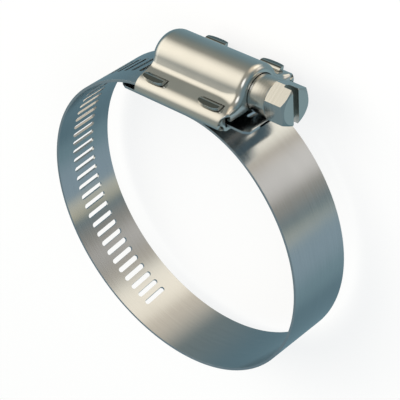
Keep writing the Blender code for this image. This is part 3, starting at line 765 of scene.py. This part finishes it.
def finish_metal(tree, colour, rough, bump, anisotropy=0.0, turn=0.0, tangent=None):
    """A bare metal: the colour of its reflection, its roughness and its relief."""
    shader = add_node(tree, "ShaderNodeBsdfPrincipled", Base_Color=colour, Metallic=1.0,
                      Roughness=rough, Normal=bump, Anisotropic=anisotropy,
                      Anisotropic_Rotation=turn)
    if tangent:
        tree.links.new(tangent, shader.inputs["Tangent"])
    add_node(tree, "ShaderNodeOutputMaterial", Surface=shader.outputs[0])


def toned(tree, grain, darkest, colour):
    """A colour, dimmed to a share of itself where the grain is darkest."""
    low, high = NOISE_SPAN
    tone = add_node(tree, "ShaderNodeMapRange", Value=grain, From_Min=low, From_Max=high,
                    To_Min=darkest, To_Max=1.0)
    mixed = add_node(tree, "ShaderNodeMix", {"data_type": "RGBA", "blend_type": "MULTIPLY"},
                     s0=1.0, s6=colour, s7=tone.outputs[0])
    return mixed.outputs[2]


def blended(tree, grain, haze, share):
    """A grain with a share of a haze added to it."""
    mixed = add_node(tree, "ShaderNodeMath", {"operation": "MULTIPLY_ADD"}, s0=haze, s1=share,
                     s2=grain)
    return mixed.outputs[0]


def roughened(tree, grain, span, roughness, shares):
    """The roughness times the first share where the grain starts its span, and times the
    second where it ends it."""
    rough = add_node(tree, "ShaderNodeMapRange", Value=grain, From_Min=span[0], From_Max=span[1],
                     To_Min=roughness * shares[0], To_Max=roughness * shares[1])
    return rough.outputs[0]


def relief(tree, grain, strength, depth):
    """The grain as relief of that depth in millimetres."""
    bump = add_node(tree, "ShaderNodeBump", Height=grain, Strength=strength, Distance=depth * MM)
    return bump.outputs[0]


def brushed_strip(settings):
    """Stainless strip, brushed along its length. Fine lines run round the ring and spread each
    highlight across them. Real grit lines are 0.05 mm wide; here they are 0.3 mm, the least
    that shows, and 14 mm long, with a haze of spots 9 mm by 5 mm."""
    material, tree = new_finish("stainless_brushed_strip")
    place = add_node(tree, "ShaderNodeUVMap", {"uv_map": "strip"}).outputs[0]
    lines = add_node(tree, "ShaderNodeMapping", Vector=place,
                     Scale=(UV_UNIT / 14, UV_UNIT / 0.3, 1.0))
    grain = add_node(tree, "ShaderNodeTexNoise", {"noise_dimensions": "2D"},
                     Vector=lines.outputs[0], Scale=1.0, Detail=3.0, Roughness=0.6).outputs[0]
    spots = add_node(tree, "ShaderNodeMapping", Vector=place,
                     Scale=(UV_UNIT / 9, UV_UNIT / 5, 1.0))
    haze = add_node(tree, "ShaderNodeTexNoise", {"noise_dimensions": "2D"},
                    Vector=spots.outputs[0], Scale=1.0, Detail=2.0, Roughness=0.5).outputs[0]
    tangent = add_node(tree, "ShaderNodeTangent", {"direction_type": "UV_MAP", "uv_map": "strip"})
    mixed = blended(tree, grain, haze, share=0.5)
    finish_metal(
        tree, toned(tree, grain, darkest=0.93, colour=(*settings.colour, 1.0)),
        roughened(tree, mixed, (0.5, 1.0), settings.roughness, shares=(0.85, 1.15)),
        relief(tree, grain, strength=0.15, depth=0.01),
        anisotropy=settings.anisotropy, turn=0.25, tangent=tangent.outputs[0])
    return material


def drawn_sheet(settings):
    """Bright stainless sheet, drawn to its shape in a press: smooth and glossy, with faint
    scuffs along the barrel, a few tenths of a millimetre wide and some millimetres long."""
    material, tree = new_finish("stainless_drawn_sheet")
    place = add_node(tree, "ShaderNodeTexCoord").outputs["Object"]
    scuffs = add_node(tree, "ShaderNodeMapping", Vector=place,
                      Scale=(1 / (6 * MM), 1 / (0.5 * MM), 1 / (0.5 * MM)))
    grain = add_node(tree, "ShaderNodeTexNoise", Vector=scuffs.outputs[0], Scale=1.0, Detail=3.0)
    haze = add_node(tree, "ShaderNodeTexNoise", Vector=place, Scale=1 / (4 * MM), Detail=2.0)
    mixed = blended(tree, grain.outputs[0], haze.outputs[0], share=0.6)
    finish_metal(
        tree, toned(tree, haze.outputs[0], darkest=0.96, colour=(*settings.colour, 1.0)),
        roughened(tree, mixed, (0.5, 1.1), settings.roughness, shares=(0.85, 1.2)),
        relief(tree, mixed, strength=0.2, depth=0.01))
    return material


def folded_sheet(settings):
    """Stainless sheet cut and folded without drawing, so it keeps the duller surface it had from
    the mill: a fine even haze with grains a third of a millimetre across. The lugs' tops get a
    painted dark reflection, darker than their rims, picked by the way they face: fully within 7
    degrees of the flange's slope, and not at all beyond 14."""
    material, tree = new_finish("stainless_folded_sheet")
    place = add_node(tree, "ShaderNodeTexCoord")
    haze = add_node(tree, "ShaderNodeTexNoise", Vector=place.outputs["Object"],
                    Scale=1 / (0.35 * MM), Detail=3.0).outputs[0]
    # Painted shade: a mask of the faces turned like the lugs' tops, which are darkened with a
    # painted dark reflection
    axes = add_node(tree, "ShaderNodeSeparateXYZ", Vector=place.outputs["Normal"])
    across = add_node(tree, "ShaderNodeMath", {"operation": "ABSOLUTE"}, s0=axes.outputs[2])
    slope = add_node(tree, "ShaderNodeCombineXYZ", Y=axes.outputs[1], Z=across.outputs[0])
    facing = add_node(tree, "ShaderNodeVectorMath", {"operation": "DOT_PRODUCT"},
                      s0=slope.outputs[0], s1=(0, cos(FLANGE_SLOPE), sin(FLANGE_SLOPE)))
    painted_lug_top_shade = add_node(tree, "ShaderNodeMapRange", Value=facing.outputs["Value"],
                        From_Min=cos(radians(14)), From_Max=cos(radians(7)))
    # The sheet's own colour, with the painted dark reflection mixed in on the lugs' tops
    skin_and_painted_shade = add_node(tree, "ShaderNodeMix", {"data_type": "RGBA"}, s0=painted_lug_top_shade.outputs[0],
                    s6=(*settings.colour, 1.0), s7=(*settings.painted_lug_top_shade, 1.0))
    finish_metal(
        tree, toned(tree, haze, darkest=0.93, colour=skin_and_painted_shade.outputs[2]),
        roughened(tree, haze, NOISE_SPAN, settings.roughness, shares=(1.0, 1.3)),
        relief(tree, haze, strength=0.15, depth=0.01))
    return material


def turned_bar(settings):
    """Stainless bar turned on a lathe, which leaves fine rings round it. The feed is about
    0.1 mm; the rings are drawn 0.45 mm apart, the least that shows."""
    material, tree = new_finish("stainless_turned_bar")
    place = add_node(tree, "ShaderNodeTexCoord").outputs["Object"]
    along = add_node(tree, "ShaderNodeMapping", Vector=place,
                     Scale=(1 / (0.45 * MM), 1 / (30 * MM), 1 / (30 * MM)))
    rings = add_node(tree, "ShaderNodeTexNoise", Vector=along.outputs[0], Scale=1.0, Detail=2.0,
                     Roughness=0.7).outputs[0]
    finish_metal(
        tree, toned(tree, rings, darkest=0.9, colour=(*settings.colour, 1.0)),
        roughened(tree, rings, NOISE_SPAN, settings.roughness, shares=(0.85, 1.15)),
        relief(tree, rings, strength=0.35, depth=0.02))
    return material


# Stage

# Soft cards round the clamp: direction, angles within which each is full and beyond which it
# is gone, in degrees, and colour
CARDS = [
    ((-0.80, 0.47, 0.37), 10, 37, (1.2, 1.11, 0.97)),      # large warm card, upper left
    ((-0.23, 0.86, 0.45), 8, 90, (0.23, 0.11, 0.0)),        # its warm spill
    ((0.18, 0.75, -0.64), 8, 20, (0.74, 0.69, 0.58)),       # warm card beyond the housing
    ((0.10, 0.85, -0.52), 2, 39, (0.85, 0.66, 0.48)),       # its wide warm edge
    ((0.61, 0.40, -0.69), 2, 15, (0.73, 0.70, 0.69)),       # narrow grey card on the right
    ((0.67, 0.39, -0.63), 6, 27, (0.36, 0.20, 0.08)),       # its warm edge
    ((0.87, -0.08, -0.48), 1, 10, (0.72, 0.51, 0.22)),      # thin strip beside it
    ((0.82, -0.37, -0.43), 5, 25, (0.15, 0.13, 0.15)),      # dim blue fill, lower right
    ((0.70, -0.48, -0.52), 16, 31, (0.09, 0.12, 0.12)),     # and its wide part
    ((-0.55, -0.31, 0.78), 10, 24, (0.10, 0.07, 0.02)),     # faint warm card, lower left
    ((0.0, 0.0, -1.0), 15, 68, (0.13, 0.14, 0.14)),         # glow from the table
    ((0.42, 0.66, 0.62), 6, 22, (1.45, 1.45, 1.5)),          # white card by the camera
]
SURROUND_SPAN = (-0.55, 0.25)   # heights between which the low surround becomes the high one

# Lamps: place in metres, side in metres, power in watts, and colour
LAMPS = {
    "overhead_lamp": ((-0.35, 0.45, 0.75), 0.7, 6.0, "#FFF6E8"),
    "side_lamp": ((0.7, 0.3, 0.5), 0.5, 3.0, "#F2F6FF"),
}

FLOOR_REACH = 2.0               # in metres, as is its drop below the clamp
FLOOR_DROP = 0.0001
FLOOR_GLOW = 0.8                # share of plain white that the camera sees in the floor

# The camera that fits the photograph: lens, place, and axes to its right, up and back
LENS = 138.1                    # in millimetres, as are the next two
SENSOR = 36.0
CAMERA_PLACE = (197.13, 198.89, 206.17)
CAMERA_AXES = ((0.7325, -0.0550, -0.6785), (-0.3662, 0.8084, -0.4609), (0.5739, 0.5861, 0.5720))


def place_floor():
    """A plain pale floor, white to the camera and greyed by the clamp's own shadow. The metal
    shows the studio's light beyond it and not the floor."""
    mesh = bpy.data.meshes.new("floor")
    corners = [(-1, -1), (1, -1), (1, 1), (-1, 1)]
    points = [(x * FLOOR_REACH, y * FLOOR_REACH, -FLOOR_DROP) for x, y in corners]
    mesh.from_pydata(points, [], [(0, 1, 2, 3)])
    floor = bpy.data.objects.new("floor", mesh)
    bpy.context.scene.collection.objects.link(floor)
    material, tree = new_finish("white_card")
    lit = add_node(tree, "ShaderNodeBsdfDiffuse", Color=(*linear("#F4F5F5"), 1.0))
    plain = add_node(tree, "ShaderNodeEmission", Color=(1.0, 1.0, 1.0, 1.0), Strength=1.0)
    path = add_node(tree, "ShaderNodeLightPath")
    share = add_node(tree, "ShaderNodeMath", {"operation": "MULTIPLY"},
                     s0=path.outputs["Is Camera Ray"], s1=FLOOR_GLOW)
    mixed = add_node(tree, "ShaderNodeMixShader", s0=share.outputs[0], s1=lit.outputs[0],
                     s2=plain.outputs[0])
    add_node(tree, "ShaderNodeOutputMaterial", Surface=mixed.outputs[0])
    mesh.materials.append(material)
    floor.visible_glossy = False


def light_studio(settings):
    """The studio's light: a cool surround, and soft cards in it that fade at their edges. Each
    card adds its colour by the angle between a direction and the card's own, smoothly from
    full inside the first angle to nothing at the second."""
    world = bpy.data.worlds.new("studio")
    bpy.context.scene.world = world
    world.use_nodes = True
    tree = world.node_tree
    tree.nodes.clear()
    direction = add_node(tree, "ShaderNodeTexCoord").outputs["Generated"]
    height = add_node(tree, "ShaderNodeSeparateXYZ", Vector=direction).outputs[2]
    share = add_node(tree, "ShaderNodeMapRange", {"interpolation_type": "SMOOTHSTEP"},
                     Value=height, From_Min=SURROUND_SPAN[0], From_Max=SURROUND_SPAN[1])
    light = add_node(tree, "ShaderNodeMix", {"data_type": "RGBA"}, s0=share.outputs[0],
                     s6=(*settings.surround_low, 1.0), s7=(*settings.surround_high, 1.0)).outputs[2]
    for place, inside, outside, colour in CARDS:
        cosine = add_node(tree, "ShaderNodeVectorMath", {"operation": "DOT_PRODUCT"},
                          s0=direction, s1=Vector(place).normalized())
        fade = add_node(tree, "ShaderNodeMapRange", {"interpolation_type": "SMOOTHSTEP"},
                        Value=cosine.outputs["Value"], From_Min=cos(radians(outside)),
                        From_Max=cos(radians(inside)), To_Max=settings.cards)
        glow = add_node(tree, "ShaderNodeVectorMath", {"operation": "SCALE"}, s0=colour,
                        Scale=fade.outputs[0])
        light = add_node(tree, "ShaderNodeVectorMath", {"operation": "ADD"}, s0=light,
                         s1=glow.outputs[0]).outputs[0]
    studio = add_node(tree, "ShaderNodeBackground", Color=light, Strength=1.0)
    white = add_node(tree, "ShaderNodeBackground", Color=(1.0, 1.0, 1.0, 1.0), Strength=1.0)
    path = add_node(tree, "ShaderNodeLightPath")
    mixed = add_node(tree, "ShaderNodeMixShader", s0=path.outputs["Is Camera Ray"],
                     s1=studio.outputs[0], s2=white.outputs[0])
    add_node(tree, "ShaderNodeOutputWorld", Surface=mixed.outputs[0])


def hang_lamp(name, place, side, power, colour):
    """A square soft lamp that shines at the clamp."""
    lamp = bpy.data.lights.new(name, "AREA")
    lamp.shape = "SQUARE"
    lamp.size = side
    lamp.energy = power
    lamp.color = linear(colour)
    made = bpy.data.objects.new(name, lamp)
    made.location = place
    made.rotation_euler = (-Vector(place)).to_track_quat("-Z", "Y").to_euler()
    made.visible_glossy = False
    bpy.context.scene.collection.objects.link(made)


def aim_camera():
    """The photograph's view, found from the outlines of the clamp in it: a long lens from the
    side of the screw's head, turned so that the screw runs down to the right."""
    camera = bpy.data.cameras.new("camera")
    camera.sensor_width = SENSOR
    camera.lens = LENS
    camera.clip_start = 0.01
    made = bpy.data.objects.new("camera", camera)
    turn = Matrix(CAMERA_AXES).transposed().to_quaternion()
    made.matrix_world = Matrix.LocRotScale(Vector(CAMERA_PLACE) * MM, turn, None)
    bpy.context.scene.collection.objects.link(made)
    bpy.context.scene.camera = made


# Settings, operators and panel


class ClampBand(bpy.types.PropertyGroup):
    """The slotted band's finish."""
    colour: FloatVectorProperty(name="Colour", description="Tone of the strip's reflection",
                                subtype="COLOR", size=3, min=0, max=1, default=linear("#BCBFC1"))
    roughness: FloatProperty(name="Roughness", description="Mean roughness of the brushed face",
                             subtype="FACTOR", min=0.05, max=1, default=0.2)
    anisotropy: FloatProperty(name="Brushing", description="How much the brushed lines spread "
                              "a highlight across them", subtype="FACTOR", min=0, max=1,
                              default=0.6)
    edge: FloatProperty(name="Edge", description="Width of the broken edges", unit="LENGTH",
                        precision=6, min=0.01 * MM, max=0.2 * MM, default=0.07 * MM)


class ClampHousing(bpy.types.PropertyGroup):
    """The finish of the housing and the saddle."""
    colour: FloatVectorProperty(name="Colour", description="Tone of the sheet's reflection",
                                subtype="COLOR", size=3, min=0, max=1, default=linear("#CBCAC5"))
    roughness: FloatProperty(name="Roughness", description="Mean roughness of the drawn sheet",
                             subtype="FACTOR", min=0.05, max=1, default=0.17)
    # Colour of the painted dark reflection on the lugs' tops
    painted_lug_top_shade: FloatVectorProperty(name="Lug tops", description="Tone of the lugs' tops",
                                  subtype="COLOR", size=3, min=0, max=1,
                                  default=linear("#727570"))
    edge: FloatProperty(name="Edge", description="Width of the broken edges", unit="LENGTH",
                        precision=6, min=0.01 * MM, max=0.3 * MM, default=0.1 * MM)


class ClampScrew(bpy.types.PropertyGroup):
    """The worm screw's finish."""
    colour: FloatVectorProperty(name="Colour", description="Tone of the bar's reflection",
                                subtype="COLOR", size=3, min=0, max=1, default=linear("#CBCAC5"))
    roughness: FloatProperty(name="Roughness", description="Mean roughness of the turned faces",
                             subtype="FACTOR", min=0.05, max=1, default=0.2)
    edge: FloatProperty(name="Edge", description="Width of the broken edges", unit="LENGTH",
                        precision=6, min=0.01 * MM, max=0.2 * MM, default=0.06 * MM)


class ClampStage(bpy.types.PropertyGroup):
    """The light round the clamp."""
    surround_low: FloatVectorProperty(name="Low surround", description="Cool light from below",
                                      subtype="COLOR", size=3, min=0, max=2,
                                      default=(0.15, 0.26, 0.31))
    surround_high: FloatVectorProperty(name="High surround", description="Cool light from above",
                                       subtype="COLOR", size=3, min=0, max=2,
                                       default=(0.235, 0.335, 0.385))
    cards: FloatProperty(name="Cards", description="Strength of the soft cards",
                         subtype="FACTOR", min=0, max=2, default=1.0)


class CLAMP_OT_band(bpy.types.Operator):
    """Build the slotted band"""
    bl_idname = "clamp.band"
    bl_label = "Band"

    def execute(self, context):
        make_band(context)
        return {"FINISHED"}


class CLAMP_OT_housing(bpy.types.Operator):
    """Build the pressed housing"""
    bl_idname = "clamp.housing"
    bl_label = "Housing"

    def execute(self, context):
        make_housing(context)
        return {"FINISHED"}


class CLAMP_OT_saddle(bpy.types.Operator):
    """Build the folded saddle with its lugs"""
    bl_idname = "clamp.saddle"
    bl_label = "Saddle"

    def execute(self, context):
        make_saddle(context)
        return {"FINISHED"}


class CLAMP_OT_worm_screw(bpy.types.Operator):
    """Build the worm screw"""
    bl_idname = "clamp.worm_screw"
    bl_label = "Worm screw"

    def execute(self, context):
        make_worm_screw(context)
        return {"FINISHED"}


class CLAMP_OT_stage(bpy.types.Operator):
    """Lay the floor, light the studio and aim the camera"""
    bl_idname = "clamp.stage"
    bl_label = "Stage"

    def execute(self, context):
        settings = context.scene.clamp_stage
        place_floor()
        light_studio(settings)
        for name, lamp in LAMPS.items():
            hang_lamp(name, *lamp)
        aim_camera()
        context.scene.view_settings.view_transform = "Standard"
        return {"FINISHED"}


class CLAMP_PT_pieces(bpy.types.Panel):
    """The clamp's pieces, its stage and their settings"""
    bl_idname = "CLAMP_PT_pieces"
    bl_label = "Hose clamp"
    bl_space_type = "VIEW_3D"
    bl_region_type = "UI"
    bl_category = "Hose Clamp"

    def draw(self, context):
        layout = self.layout
        for operator in OPERATORS:
            layout.operator(operator.bl_idname)
        for name in GROUPS:
            box = layout.box()
            box.label(text=name.replace("_", " ").capitalize())
            group = getattr(context.scene, name)
            for prop in group.bl_rna.properties:
                if prop.identifier not in ("rna_type", "name"):
                    box.prop(group, prop.identifier)


OPERATORS = (CLAMP_OT_band, CLAMP_OT_housing, CLAMP_OT_saddle, CLAMP_OT_worm_screw, CLAMP_OT_stage)
GROUPS = {"clamp_band": ClampBand, "clamp_housing": ClampHousing, "clamp_screw": ClampScrew,
          "clamp_stage": ClampStage}
CLASSES = (*GROUPS.values(), *OPERATORS, CLAMP_PT_pieces)


def register():
    """Make the settings, operators and panel known."""
    for cls in CLASSES:
        bpy.utils.register_class(cls)
    for name, group in GROUPS.items():
        setattr(bpy.types.Scene, name, PointerProperty(type=group))


def unregister():
    """Take them away again."""
    for name in GROUPS:
        delattr(bpy.types.Scene, name)
    for cls in reversed(CLASSES):
        bpy.utils.unregister_class(cls)


def main():
    """Register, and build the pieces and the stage."""
    register()
    bpy.ops.clamp.band()
    bpy.ops.clamp.housing()
    bpy.ops.clamp.saddle()
    bpy.ops.clamp.worm_screw()
    bpy.ops.clamp.stage()


if __name__ == "__main__":
    main()
